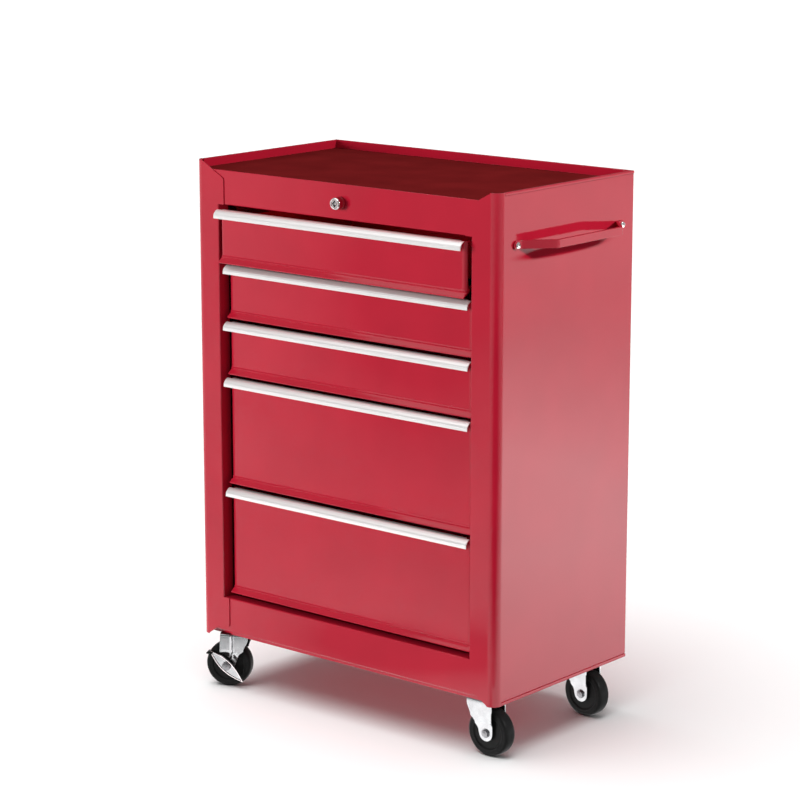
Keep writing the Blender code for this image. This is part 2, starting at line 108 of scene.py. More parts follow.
# ---- handle, lock --------------------------------------------------------------------------------
HANDLE_Z = 0.6625
HANDLE_H = 0.0118
HANDLE_T = 0.0045
HANDLE_OUT = 0.038
HANDLE_FOOT = 0.0025
HANDLE_Y = (0.0330, 0.0480, 0.0883, 0.2404, 0.2790, 0.2960)
LOCK_Z = 0.6986
LOCK_R = 0.0095                # flange against the panel
LOCK_RING_R = 0.0090
LOCK_HOLE_R = 0.0083
LOCK_OUT = 0.0125
KEY_DEPTH = 0.0030             # depth of the diamond recess in the plug

# ---- casters: x ahead from the swivel axis, z up from the floor ----------------------------------
WHEEL_R = 0.036
WHEEL_W = 0.0215
TRAIL = 0.021
FORK_OUT = 0.0143
FORK_T = 0.0018
FORK_TOP = 0.0866
FORK_COLUMNS = 36
TONGUE_R = 0.0120              # rounded lower end of a fork's leg
SHOULDER_R = 0.0050            # bend between leg and top
SWELL = 0.0030                 # the shoulders stand out this far over the wheel
SWELL_START = 0.0165           # distances from the axle over which they rise
SWELL_END = 0.0225
SWELL_RISE = 0.0200
GROOVE_X = 0.0135              # pressed groove down the shoulder of a braked fork
GROOVE_Z = 0.0520
GROOVE_HALF = 0.0030
LEG_Y = 0.0090                 # points further out than this belong to a leg, not to the top
LEG_REAR = [(0.0300, 0.0090), (0.0355, 0.0086), (0.0525, 0.0030), (0.0600, -0.0050),
            (0.0785, -0.0118), (0.0875, -0.0122)]
LEG_FRONT = [(0.0300, 0.0326), (0.0400, 0.0330), (0.0600, 0.0330), (0.0875, 0.0320)]
AXLE_R = 0.0040
WASHER_R = 0.0068
WASHER_T = 0.0008
BRAKE_ANGLE = math.radians(-42)
BRAKE_Y = 0.0222               # outer side of the brake plate, without its rim
BRAKE_INNER = 0.0150           # inner side of the web and the pedal
BRAKE_EYE = 48                 # points round the plate
BRAKE_BOW = 2.3                # how pointed the plate's two ends are

# ---- light ---------------------------------------------------------------------------------------
WORLD = 0.36                   # radiance of the pale surroundings


# ---- materials -----------------------------------------------------------------------------------
def principled(name, colour, rough, metal=0.0):
    """A new material and its Principled shader."""
    mat = bpy.data.materials.new(name)
    mat.use_nodes = True
    bsdf = mat.node_tree.nodes["Principled BSDF"]
    bsdf.inputs["Base Color"].default_value = (*colour, 1)
    bsdf.inputs["Roughness"].default_value = rough
    bsdf.inputs["Metallic"].default_value = metal
    return mat, bsdf


def noise(mat, scale, detail=2.0, stretch=(1, 1, 1)):
    """A noise texture in the object's own coordinates; scale is in features per metre."""
    tree = mat.node_tree
    place = tree.nodes.new("ShaderNodeTexCoord")
    mapping = tree.nodes.new("ShaderNodeMapping")
    mapping.inputs["Scale"].default_value = stretch
    tex = tree.nodes.new("ShaderNodeTexNoise")
    tex.inputs["Scale"].default_value = scale
    tex.inputs["Detail"].default_value = detail
    tree.links.new(place.outputs["Object"], mapping.inputs["Vector"])
    tree.links.new(mapping.outputs["Vector"], tex.inputs["Vector"])
    return tex.outputs["Fac"]


def ramp(mat, factor, low, high, start=0.3, end=0.7):
    """A two-colour ramp over a factor."""
    node = mat.node_tree.nodes.new("ShaderNodeValToRGB")
    node.color_ramp.elements[0].position = start
    node.color_ramp.elements[1].position = end
    node.color_ramp.elements[0].color = (*low, 1)
    node.color_ramp.elements[1].color = (*high, 1)
    mat.node_tree.links.new(factor, node.inputs["Fac"])
    return node.outputs["Color"]


def spread(mat, factor, low, high):
    """A factor from 0 to 1 mapped to a range."""
    node = mat.node_tree.nodes.new("ShaderNodeMapRange")
    node.inputs["To Min"].default_value = low
    node.inputs["To Max"].default_value = high
    mat.node_tree.links.new(factor, node.inputs["Value"])
    return node.outputs["Result"]


def feed(bsdf, socket, output):
    """Drive one of the shader's inputs from another node's output."""
    bsdf.id_data.links.new(output, bsdf.inputs[socket])


def bump(mat, bsdf, layers):
    """Bump from several (height, distance in metres) layers, one over the other."""
    tree = mat.node_tree
    last = None
    for height, distance in layers:
        node = tree.nodes.new("ShaderNodeBump")
        node.inputs["Strength"].default_value = 1.0
        node.inputs["Distance"].default_value = distance
        tree.links.new(height, node.inputs["Height"])
        if last:
            tree.links.new(last, node.inputs["Normal"])
        last = node.outputs["Normal"]
    feed(bsdf, "Normal", last)
    return last


def shade(colour, factor):
    """A colour made lighter or darker."""
    return tuple(min(1.0, c * factor) for c in colour)


def red_paint():
    """Gloss powder coat over slightly wavy sheet: deep red, clear coat, faint orange peel."""
    base = (0.44, 0.010, 0.029)
    mat, bsdf = principled("red_powder_coat", base, 0.45)
    feed(bsdf, "Base Color", ramp(mat, noise(mat, 9.0), shade(base, 0.93), shade(base, 1.05)))
    feed(bsdf, "Roughness", spread(mat, noise(mat, 60.0, 4.0), 0.38, 0.52))
    bsdf.inputs["Specular IOR Level"].default_value = 0.0
    bsdf.inputs["Coat Weight"].default_value = 0.7
    bsdf.inputs["Coat Roughness"].default_value = 0.06
    bsdf.inputs["Coat IOR"].default_value = 1.5
    normal = bump(mat, bsdf, [(noise(mat, 5.0, 1.0), 0.0012), (noise(mat, 420.0, 2.0), 0.000010)])
    feed(bsdf, "Coat Normal", normal)
    return mat


def tray_paint():
    """Dark, flat textured paint on the tray floor."""
    base = (0.185, 0.0125, 0.0135)
    mat, bsdf = principled("tray_floor_paint", base, 0.8)
    feed(bsdf, "Base Color", ramp(mat, noise(mat, 14.0, 4.0), shade(base, 0.86), shade(base, 1.12)))
    feed(bsdf, "Roughness", spread(mat, noise(mat, 180.0, 3.0), 0.70, 0.95))
    bsdf.inputs["Specular IOR Level"].default_value = 0.0
    bump(mat, bsdf, [(noise(mat, 900.0, 3.0), 0.00008)])
    return mat


def aluminium():
    """Satin anodised aluminium, drawn along the pull."""
    base = (0.92, 0.895, 0.89)
    mat, bsdf = principled("anodised_aluminium", base, 0.35, 0.6)
    lines = noise(mat, 700.0, 3.0, (0.02, 1, 1))
    feed(bsdf, "Base Color", ramp(mat, lines, shade(base, 0.965), base))
    feed(bsdf, "Roughness", spread(mat, lines, 0.32, 0.42))
    bump(mat, bsdf, [(lines, 0.000012)])
    return mat


def zinc():
    """Bright zinc plate: cloudy, lightly drawn steel."""
    base = (0.43, 0.44, 0.45)
    mat, bsdf = principled("bright_zinc_plate", base, 0.25, 1.0)
    feed(bsdf, "Base Color", ramp(mat, noise(mat, 70.0, 4.0), shade(base, 0.86), shade(base, 1.06)))
    feed(bsdf, "Roughness", spread(mat, noise(mat, 240.0, 3.0), 0.12, 0.26))
    bump(mat, bsdf, [(noise(mat, 500.0, 2.0, (1, 1, 0.15)), 0.000015)])
    return mat


def bolt_steel():
    """Darkened steel of the axle bolts and nuts."""
    base = (0.24, 0.24, 0.25)
    mat, bsdf = principled("dark_steel", base, 0.35, 1.0)
    feed(bsdf, "Base Color", ramp(mat, noise(mat, 300.0, 3.0), shade(base, 0.7), shade(base, 1.2)))
    feed(bsdf, "Roughness", spread(mat, noise(mat, 500.0, 3.0), 0.25, 0.45))
    bump(mat, bsdf, [(noise(mat, 900.0, 2.0), 0.00001)])
    return mat


def chrome():
    """Polished chrome with faint hairlines, its base colour tinted pink as a painted reflection of the red
    cabinet.
    """
    # the pink tint is a painted reflection of the red paint round the chrome parts
    base = (0.86, 0.80, 0.80)
    mat, bsdf = principled("polished_chrome", base, 0.08, 1.0)
    feed(bsdf, "Base Color", ramp(mat, noise(mat, 150.0, 3.0), shade(base, 0.92), base))
    feed(bsdf, "Roughness", spread(mat, noise(mat, 400.0, 4.0), 0.05, 0.14))
    bump(mat, bsdf, [(noise(mat, 900.0, 2.0), 0.000004)])
    return mat


def wheel_plastic():
    """Moulded black wheel: slightly mottled, satin."""
    base = (0.010, 0.010, 0.010)
    mat, bsdf = principled("moulded_wheel", base, 0.5)
    bsdf.inputs["Specular IOR Level"].default_value = 0.06
    feed(bsdf, "Base Color", ramp(mat, noise(mat, 90.0, 4.0), shade(base, 0.8), shade(base, 1.35)))
    feed(bsdf, "Roughness", spread(mat, noise(mat, 300.0, 3.0), 0.36, 0.55))
    bump(mat, bsdf, [(noise(mat, 1100.0, 2.0), 0.00002)])
    return mat


RED = red_paint()
TRAY = tray_paint()
ALUMINIUM = aluminium()
ZINC = zinc()
BOLT = bolt_steel()
CHROME = chrome()
WHEEL = wheel_plastic()


# ---- mesh helpers --------------------------------------------------------------------------------
def ease(value, start, end):
    """Smooth step: 0 up to start, 1 from end on."""
    t = min(1.0, max(0.0, (value - start) / (end - start)))
    return t * t * (3 - 2 * t)


def rounded(corners, steps=6, closed=True):
    """Points of an outline whose corners are (u, v) or, to round them, (u, v, radius)."""
    points = []
    count = len(corners)
    for i, corner in enumerate(corners):
        here = Vector(corner[:2])
        radius = corner[2] if len(corner) > 2 else 0.0
        if radius <= 0 or (not closed and i in (0, count - 1)):
            points.append(tuple(here))
            continue
        before = Vector(corners[i - 1][:2]) - here
        after = Vector(corners[(i + 1) % count][:2]) - here
        half = (math.pi - before.angle(after)) / 2
        reach = min(radius * math.tan(half), 0.49 * before.length, 0.49 * after.length)
        start = here + before.normalized() * reach
        end = here + after.normalized() * reach
        for step in range(steps + 1):
            t = step / steps
            weights = ((1 - t) ** 2, 2 * t * (1 - t) * math.cos(half), t * t)
            point = start * weights[0] + here * weights[1] + end * weights[2]
            points.append(tuple(point / sum(weights)))
    return points


def sheet(corners, thickness=SHEET, steps=6):
    """Closed outline of a bent sheet, from its centre line's corners."""
    line = [Vector(p) for p in rounded(corners, steps, closed=False)]
    left, right = [], []
    for i, point in enumerate(line):
        before = (point - line[i - 1]).normalized() if i else (line[1] - point).normalized()
        after = (line[i + 1] - point).normalized() if i < len(line) - 1 else before
        along = (before + after).normalized()
        normal = Vector((-along.y, along.x)) * (thickness / 2 / max(0.5, along.dot(after)))
        left.append(tuple(point + normal))
        right.append(tuple(point - normal))
    return left + right[::-1]


def mirrored(outline):
    """The outline reflected in its first coordinate."""
    return [(-u, v) for u, v in outline]


def box_outline(u0, v0, u1, v1):
    """Corners of a rectangle."""
    return [(u0, v0), (u1, v0), (u1, v1), (u0, v1)]


def prism(bm, outline, axis, low, high):
    """Extrude a closed outline along an axis.  The outline is (y, z), (x, z) or (x, y)."""
    def point(u, v, w):
        return {"X": (w, u, v), "Y": (u, w, v), "Z": (u, v, w)}[axis]
    first = [bm.verts.new(point(u, v, low)) for u, v in outline]
    last = [bm.verts.new(point(u, v, high)) for u, v in outline]
    bm.faces.new(first)
    bm.faces.new(list(reversed(last)))
    for i in range(len(outline)):
        j = (i + 1) % len(outline)
        bm.faces.new((first[i], last[i], last[j], first[j]))
    return bm


def turned(bm, profile, axis, segments, centre=(0.0, 0.0), closed=False):
    """Turn a (radius, along) profile round an axis: a closed ring, or a solid with flat ends."""
    rings = []
    for radius, along in profile:
        ring = []
        for i in range(segments):
            a = 2 * math.pi * (i + 0.5) / segments
            u = centre[0] + radius * math.cos(a)
            v = centre[1] + radius * math.sin(a)
            ring.append(bm.verts.new({"X": (along, u, v), "Y": (u, along, v), "Z": (u, v, along)}[axis]))
        rings.append(ring)
    pairs = list(zip(rings, rings[1:]))
    if closed:
        pairs.append((rings[-1], rings[0]))
    for here, there in pairs:
        for i in range(segments):
            j = (i + 1) % segments
            bm.faces.new((here[i], here[j], there[j], there[i]))
    if not closed:
        bm.faces.new(rings[0])
        bm.faces.new(rings[-1])
    return bm


def mesh_object(name, bm):
    """Turn a bmesh into an object at the origin."""
    bmesh.ops.recalc_face_normals(bm, faces=bm.faces)
    mesh = bpy.data.meshes.new(name)
    bm.to_mesh(mesh)
    bm.free()
    obj = bpy.data.objects.new(name, mesh)
    bpy.context.scene.collection.objects.link(obj)
    return obj


def solid(outline, axis, low, high):
    """A prism as an object."""
    return mesh_object("solid", prism(bmesh.new(), outline, axis, low, high))


def apply_modifiers(obj):
    """Turn an object's modifiers into mesh."""
    graph = bpy.context.evaluated_depsgraph_get()
    mesh = bpy.data.meshes.new_from_object(obj.evaluated_get(graph))
    obj.modifiers.clear()
    obj.data = mesh


def combine(target, other, operation):
    """Exact boolean, applied at once; the other object is used up."""
    mod = target.modifiers.new("boolean", "BOOLEAN")
    mod.operation = operation
    mod.solver = "EXACT"
    mod.object = other
    apply_modifiers(target)
    bpy.data.objects.remove(other, do_unlink=True)


def cut(target, outline, axis, low, high):
    """Cut a prism out of an object."""
    combine(target, solid(outline, axis, low, high), "DIFFERENCE")


def edit(obj, change):
    """Run a bmesh change on an object's mesh."""
    bm = bmesh.new()
    bm.from_mesh(obj.data)
    change(bm)
    bm.to_mesh(obj.data)
    bm.free()


def round_top(obj, height, width):
    """Round the sharp edges of an object's upper side."""
    def sharp(edge):
        return len(edge.link_faces) == 2 and edge.calc_face_angle(0) > math.radians(35)

    def change(bm):
        bmesh.ops.dissolve_limit(bm, angle_limit=math.radians(0.3), verts=bm.verts, edges=bm.edges)
        top = {v for v in bm.verts if abs(v.co.z - height) < NEAR}
        edges = [e for e in bm.edges if sharp(e) and top.issuperset(e.verts)]
        bmesh.ops.bevel(bm, geom=edges, offset=width, segments=4, affect="EDGES", profile=0.5,
                        clamp_overlap=True)
    edit(obj, change)


def paint(obj, chosen):
    """Give the second material to the faces that satisfy chosen, and the first to the others."""
    def change(bm):
        for face in bm.faces:
            face.material_index = int(chosen(face))
    edit(obj, change)


def piece(obj, name, body, materials, nodes=(), place=CABINET, bevel=0.0, segments=2, sharp=40):
    """Finish a piece: name, place, shading, material, the body it rides on and the nodes it replaces."""
    obj.name = name
    obj.data.name = name
    obj.matrix_world = place
    obj.data.materials.clear()
    for mat in materials:
        obj.data.materials.append(mat)
    obj.data.shade_smooth()
    if bevel:
        mod = obj.modifiers.new("edges", "BEVEL")
        mod.width = bevel
        mod.segments = segments
        mod.limit_method = "ANGLE"
        mod.angle_limit = math.radians(sharp)
        normals = obj.modifiers.new("normals", "WEIGHTED_NORMAL")
        normals.weight = 100
        normals.keep_sharp = True
    else:
        obj.data.set_sharp_from_angle(angle=math.radians(sharp))
    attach(obj, body)
    if nodes:
        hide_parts(*nodes)


# ---- cabinet -------------------------------------------------------------------------------------
def side_panel(side):
    """Side panel, bent round the front corner into the post beside the drawers."""
    name = "side_right" if side > 0 else "side_left"
    mid = SHEET / 2
    far = HALF - mid
    bend = HALF - CORNER_R
    clear = TAB_X - BEYOND
    over = HEIGHT + BEYOND
    inside = TAB_LOW - BEYOND
    wall = [(HALF - FLANGE, DEPTH - mid), (far, DEPTH - mid, 0.0018), (far, mid, CORNER_R - mid)]
    tabbed = sheet(wall + [(TAB_X, mid)], SHEET, 16)
    post = sheet(wall + [(OPEN_X + mid, mid, FOLD_R), (OPEN_X + mid, POST_RETURN)], SHEET, 16)
    top_cut = rounded([(bend, HEIGHT - 0.0008), (TAB_X, TAB_LOW, 0.0060), (TAB_X, inside),
                       (clear, inside), (clear, over), (bend, over)])
    low_cut = rounded([(bend, 0.0008), (0.2600, RAIL_Z0), (0.2500, 0.0166, 0.0060),
                       (TAB_X, 0.0181, 0.0050), (TAB_X, 0.0300), (clear, 0.0300),
                       (clear, -BEYOND), (bend, -BEYOND)])
    if side < 0:
        tabbed, post, top_cut, low_cut = [mirrored(o) for o in (tabbed, post, top_cut, low_cut)]
    panel = solid(post, "Z", OPEN_Z0, OPEN_Z1)
    combine(panel, solid(tabbed, "Z", 0.0, OPEN_Z0), "UNION")
    combine(panel, solid(tabbed, "Z", OPEN_Z1, HEIGHT), "UNION")
    cut(panel, top_cut, "Y", -0.005, 0.008)
    cut(panel, low_cut, "Y", -0.005, 0.008)
    x0, x1 = (TAB_X, HALF + BEYOND) if side > 0 else (-HALF - BEYOND, -TAB_X)
    behind = DEPTH + BEYOND
    hem_y = CORNER_R + 0.0008
    foot_y = CORNER_R + 0.0016
    cut(panel, box_outline(hem_y, HEIGHT - HEM - GAP, behind, over), "X", x0, x1)
    cut(panel, box_outline(foot_y, -BEYOND, behind, PAN_EDGE + SEAM), "X", x0, x1)
    piece(panel, name + "_shell", "cabinet", [RED], [name], bevel=0.0005, segments=3)


def top_tray():
    """Top tray: matt floor, low walls and a rim folded over the side and back panels."""
    front = CORNER_R + 0.0014
    step = HEIGHT - HEM
    in_x = HALF - SHEET - 2 * GAP
    in_y = DEPTH - SHEET - 2 * GAP
    floor = [(-in_x, front), (-0.2795, 0.0052), (-0.2700, 0.0031), (0.2700, 0.0031),
             (0.2795, 0.0052), (in_x, front), (in_x, in_y), (-in_x, in_y)]
    tray = solid(floor, "Z", TRAY_FLOOR - SHEET, step)
    combine(tray, solid(box_outline(-HALF, front, HALF, DEPTH), "Z", step, HEIGHT), "UNION")
    wall = HALF - RIM_W
    cut(tray, box_outline(-wall, -BEYOND, wall, DEPTH - RIM_W), "Z", TRAY_FLOOR, HEIGHT + BEYOND)
    round_top(tray, HEIGHT, 0.0012)
    piece(tray, "tray_shell", "cabinet", [RED, TRAY], ["top_tray"], bevel=0.0003)

    def on_floor(face):
        return face.normal.z > 0.9 and abs(face.calc_center_median().z - TRAY_FLOOR) < NEAR
    paint(tray, on_floor)


def apron():
    """Front apron over the drawers, folded back along its lower edge, with the lock's hole."""
    y = SHEET + GAP + SHEET / 2
    z = OPEN_Z1 + SHEET / 2
    outline = sheet([(0.0150, z), (y, z, FOLD_R), (y, APRON_Z1)])
    panel = solid(outline, "X", -APRON_HALF, APRON_HALF)
    bore = turned(bmesh.new(), [(LOCK_HOLE_R, -BEYOND), (LOCK_HOLE_R, BEYOND)], "Y", 32, (0, LOCK_Z))
    combine(panel, mesh_object("hole", bore), "DIFFERENCE")
    round_top(panel, APRON_Z1, 0.00055)
    piece(panel, "front_apron_shell", "cabinet", [RED], ["front_apron"], bevel=0.0003)


def bottom_rail():
    """Bottom rail under the drawers, folded back top and bottom."""
    y = SHEET + GAP + SHEET / 2
    mid = SHEET / 2
    outline = sheet([(0.0205, OPEN_Z0 - mid), (y, OPEN_Z0 - mid, FOLD_R),
                     (y, RAIL_Z0 + mid, FOLD_R), (0.0120, RAIL_Z0 + mid)])
    panel = solid(outline, "X", -RAIL_HALF, RAIL_HALF)
    piece(panel, "bottom_rail_shell", "cabinet", [RED], ["bottom_rail"], bevel=0.0003)


def bottom_pan():
    """Bottom pan: a folded edge below the side panels and the floor that the casters bolt to."""
    front = CORNER_R + 0.0022
    in_x = HALF - SHEET - GAP
    in_y = DEPTH - SHEET - GAP
    wall = HALF - PAN_LIP
    pan = solid(box_outline(-HALF, front, HALF, DEPTH), "Z", 0.0, PAN_EDGE)
    raised = box_outline(-in_x, front, in_x, in_y)
    combine(pan, solid(raised, "Z", PAN_EDGE - SHEET, PAN_FLOOR + SHEET), "UNION")
    hollow = box_outline(-wall, front + 0.003, wall, DEPTH - PAN_LIP)
    cut(pan, hollow, "Z", -BEYOND, PAN_FLOOR)
    piece(pan, "bottom_pan_shell", "cabinet", [RED], ["bottom_pan"], bevel=0.0005)


# ---- side handle ---------------------------------------------------------------------------------
def side_handle():
    """Flat bar bent out from two round-ended feet."""
    x0 = HALF + GAP
    x1 = x0 + HANDLE_FOOT
    out = HALF + HANDLE_OUT
    y = HANDLE_Y
    inner = out - HANDLE_T
    inside = [(x0, y[0]), (x0, y[1] + 0.004, 0.005), (inner, y[2] + 0.0025, 0.005),
              (inner, y[3] - 0.0025, 0.005), (x0, y[4] - 0.004, 0.005), (x0, y[5])]
    outside = [(x1, y[5]), (x1, y[4], 0.007), (out, y[3], 0.009), (out, y[2], 0.009),
               (x1, y[1], 0.007), (x1, y[0])]
    low = HANDLE_Z - HANDLE_H / 2
    high = low + HANDLE_H
    bar = solid(rounded(inside + outside), "Z", low, high)
    r = HANDLE_H / 2 - 0.0002
    stadium = rounded([(y[0], low, r), (y[5], low, r), (y[5], high, r), (y[0], high, r)], 10)
    combine(bar, solid(stadium, "X", HALF - BEYOND, out + BEYOND), "INTERSECT")
    piece(bar, "side_handle_bar", "cabinet", [RED], ["side_handle"], bevel=0.0011, segments=4)
    start = x1 + GAP
    for tag, where in (("front", (y[0] + y[1]) / 2), ("rear", (y[4] + y[5]) / 2)):
        head = rounded([(0.0048, start), (0.0048, start + 0.0010, 0.0004), (0.0036, start + 0.0026, 0.0012),
                        (0.0006, start + 0.0034)], 5, closed=False)
        screw = mesh_object("screw", turned(bmesh.new(), head, "X", 40, (where, HANDLE_Z)))
        for u, v in ((0.0005, 0.0024), (0.0024, 0.0005)):
            slot = box_outline(where - u, HANDLE_Z - v, where + u, HANDLE_Z + v)
            cut(screw, slot, "X", start + 0.0012, start + BEYOND)
        piece(screw, "handle_screw_%s_head" % tag, "cabinet", [CHROME],
              ["handle_screw_" + tag], bevel=0.0001, sharp=50)


# ---- drawers -------------------------------------------------------------------------------------
def drawer_front(bm, low, top):
    """Folded front: rolled ends, a pressed ridge over a groove, and a flared lower lip."""
    back = FRONT_DEPTH
    lip = -LIP_OUT
    face = [(back, top - WALL), (back, top), (0.0, top, FOLD_R), (0.0, low + 0.0122, 0.0020),
            (-0.0016, low + 0.0104, 0.0008), (0.0003, low + 0.0084, 0.0007),
            (-0.0018, low + 0.0056, 0.0020), (lip, low + 0.0018, 0.0010), (lip + 0.0010, low, 0.0006)]
    inside = [(0.0006, low + 0.0040, 0.0010), (back, low + 0.0088), (back, low + 0.0132),
              (WALL, low + 0.0132), (WALL, top - WALL)]
    outline = rounded(face + inside, 5)
    start = FACE_HALF - END_R * math.sin(END_SWEEP)
    ends = [start + END_R * math.sin(END_SWEEP * i / END_STEPS) for i in range(END_STEPS + 1)]
    columns = [-x for x in reversed(ends)] + ends
    rings = []
    for x in columns:
        past = max(0.0, abs(x) - start)
        depth = END_R - math.sqrt(END_R ** 2 - past ** 2)
        rolled = [(x, y + depth * ease(z, low + 0.0035, low + 0.0120), z) for y, z in outline]
        rings.append([bm.verts.new(point) for point in rolled])
    for here, there in zip(rings, rings[1:]):
        for i in range(len(outline)):
            j = (i + 1) % len(outline)
            bm.faces.new((here[i], there[i], there[j], here[j]))
    bm.faces.new(rings[0])
    bm.faces.new(list(reversed(rings[-1])))


def open_box(bm, lo, hi, wall):
    """A box open at the top, with a wall all round."""
    rings = []
    for inset, z in ((0.0, lo.z), (0.0, hi.z), (wall, hi.z), (wall, lo.z + wall)):
        x0, y0, x1, y1 = lo.x + inset, lo.y + inset, hi.x - inset, hi.y - inset
        rings.append([bm.verts.new((x, y, z)) for x, y in ((x0, y0), (x1, y0), (x1, y1), (x0, y1))])
    for here, there in zip(rings, rings[1:]):
        for i in range(4):
            j = (i + 1) % 4
            bm.faces.new((here[i], here[j], there[j], there[i]))
    bm.faces.new(rings[0])
    bm.faces.new(rings[-1])


def drawer(index):
    """Drawer: folded front, open tub with hemmed walls, and a full-width pull."""
    body = "drawer_%d" % index
    tub_lo, tub_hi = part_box(body + "_tub")
    pull_lo, pull_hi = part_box(body + "_pull")
    face = tub_lo.y + LIP_OUT
    place = Matrix.Translation((ORIGIN.x, face, ORIGIN.z))
    low = tub_lo.z - ORIGIN.z
    top = tub_hi.z - ORIGIN.z
    pull = pull_lo.z - ORIGIN.z
    half = (pull_hi.x - pull_lo.x) / 2

    bm = bmesh.new()
    drawer_front(bm, low, top)
    front = mesh_object("front", bm)
    piece(front, body + "_front", body, [RED], [body + "_tub"], place)

    bm = bmesh.new()
    rim = top - TUB_RIM
    corner = Vector((-TUB_HALF, FRONT_DEPTH - WALL, low + TUB_BASE))
    open_box(bm, corner, Vector((TUB_HALF, TUB_LENGTH, rim)), WALL)
    inner = TUB_HALF - 0.0030
    outer = TUB_HALF - 0.0008
    across = TUB_HALF - 0.0010
    end = TUB_LENGTH - 0.0005
    for hem in ((inner, 0.0060, outer, end), (-outer, 0.0060, -inner, end),
                (-across, TUB_LENGTH - 0.0030, across, TUB_LENGTH - 0.0008)):
        prism(bm, box_outline(*hem), "Z", rim - 0.0070, rim + 0.0003)
    tub = mesh_object("tub", bm)
    piece(tub, body + "_box", body, [RED], (), place, bevel=0.0004)

    g = GAP
    t = WALL
    high = pull + PULL_H
    outside = [(-g, pull + 0.0020), (-g, high), (-0.0055, high, 0.0030), (-0.0083, pull + 0.0114, 0.0060),
               (-0.0108, pull + 0.0094, 0.0060), (-0.0128, pull + 0.0072, 0.0040),
               (-0.0138, pull + 0.0048, 0.0030), (-0.0140, pull, 0.0003)]
    inside = [(-0.0140 + t, pull, 0.0003), (-0.0138 + t, pull + 0.0045, 0.0030),
              (-0.0119, pull + 0.0064, 0.0030), (-0.0101, pull + 0.0084, 0.0050),
              (-0.0078, pull + 0.0102, 0.0050), (-0.0052, high - t, 0.0020),
              (-g - t, high - t), (-g - t, pull + 0.0020)]
    grip = solid(rounded(outside + inside, 4), "X", -half, half)
    flange = box_outline(-0.0052, pull - 0.001, 0.001, high + 0.001)
    cut(grip, flange, "X", half - PULL_NOTCH, half + 0.001)
    cut(grip, flange, "X", -half - 0.001, PULL_NOTCH - half)
    piece(grip, body + "_grip", body, [ALUMINIUM], [body + "_pull"], place,
          bevel=0.0002, sharp=60)


# ---- lock ----------------------------------------------------------------------------------------
def lock():
    """Cam lock: a housing with a polished rim, its barrel's side given red paint as a painted reflection of the
    apron, and the turning plug with its key slot, its recess painted dark as painted shade.
    """
    front = -LOCK_OUT
    against = SHEET - 0.0002
    inside = [(0.0062, front + 0.0006, 0.0003), (0.0068, front, 0.0003), (0.0078, front, 0.0006)]
    outside = [(LOCK_RING_R, front + 0.0018, 0.0010), (LOCK_RING_R, -0.0020, 0.0004)]
    flange = [(LOCK_R, -0.0016, 0.0003), (LOCK_R, against, 0.0003), (0.0080, against)]
    barrel = [(0.0080, 0.0145), (0.0062, 0.0145)]
    housing = rounded(inside + outside + flange + barrel, 5)
    ring = mesh_object("ring", turned(bmesh.new(), housing, "Y", 56, (0.0, LOCK_Z), closed=True))
    piece(ring, "lock_housing_ring", "cabinet", [CHROME, RED], ["lock_housing"], sharp=50)
    # the barrel's side behind the rim gets the red paint: a painted reflection of the red apron in the chrome
    paint(ring, lambda face: face.calc_center_median().y > front + 0.0022)

    place = CABINET @ Matrix.Translation((0, 0, LOCK_Z))
    end = front + 0.0008
    floor_y = end + KEY_DEPTH
    ahead = front - BEYOND
    profile = rounded([(0.0058, 0.0170), (0.0058, end, 0.0005), (0.0006, end)], 4, closed=False)
    plug = mesh_object("plug", turned(bmesh.new(), profile, "Y", 48))
    tip = 0.0052
    side = 0.0046
    diamond = [(0.0, -tip, 0.0006), (side, 0.0, 0.0006), (0.0, tip, 0.0006), (-side, 0.0, 0.0006)]
    cut(plug, rounded(diamond, 3), "Y", ahead, floor_y)
    stub = rounded([(0.0021, end + 0.0040), (0.0021, end + 0.0008, 0.0003), (0.0003, end + 0.0008)],
                   3, closed=False)
    combine(plug, mesh_object("core", turned(bmesh.new(), stub, "Y", 32)), "UNION")
    cut(plug, box_outline(-0.0005, -0.0017, 0.0005, 0.0017), "Y", ahead, floor_y)
    piece(plug, "lock_plug_core", "lock_plug", [CHROME, WHEEL], ["lock_plug"], place,
          bevel=0.0001, sharp=50)

    # faces inside the diamond recess get black plastic: painted shade in the key slot
    def recess_painted_dark(face):
        middle = face.calc_center_median()
        return end + 0.0010 < middle.y < floor_y + 0.0008 and math.hypot(middle.x, middle.z) < tip
    paint(plug, recess_painted_dark)


# ---- casters -------------------------------------------------------------------------------------
def level(z, points):
    """Smoothly interpolated value at height z from (height, value) points."""
    for (z0, a), (z1, b) in zip(points, points[1:]):
        if z <= z1:
            return a + (b - a) * ease(z, z0, z1)
    return points[-1][1]


def fork_row(y, z, groove):
    """One row of points across the fork's strip, whose edges narrow to the rounded tongue."""
    low = WHEEL_R - TONGUE_R
    if z < WHEEL_R:
        reach = math.sqrt(max(0.0, TONGUE_R ** 2 - (WHEEL_R - z) ** 2))
        x0, x1 = TRAIL - reach, TRAIL + reach
    else:
        x0, x1 = level(z, LEG_REAR), level(z, LEG_FRONT)
    row = []
    for i in range(FORK_COLUMNS + 1):
        x = x0 + (x1 - x0) * i / FORK_COLUMNS
        away = math.hypot(x - TRAIL, z - WHEEL_R)
        rise = min(1.0, max(0.0, (z - low) / SWELL_RISE))
        swell = SWELL * ease(away, SWELL_START, SWELL_END) * rise
        if groove and z > GROOVE_Z:
            swell -= SWELL * max(0.0, 1.0 - abs(x - GROOVE_X) / GROOVE_HALF)
        row.append((x, y + math.copysign(swell, y) if abs(y) > LEG_Y else y, z))
    return row


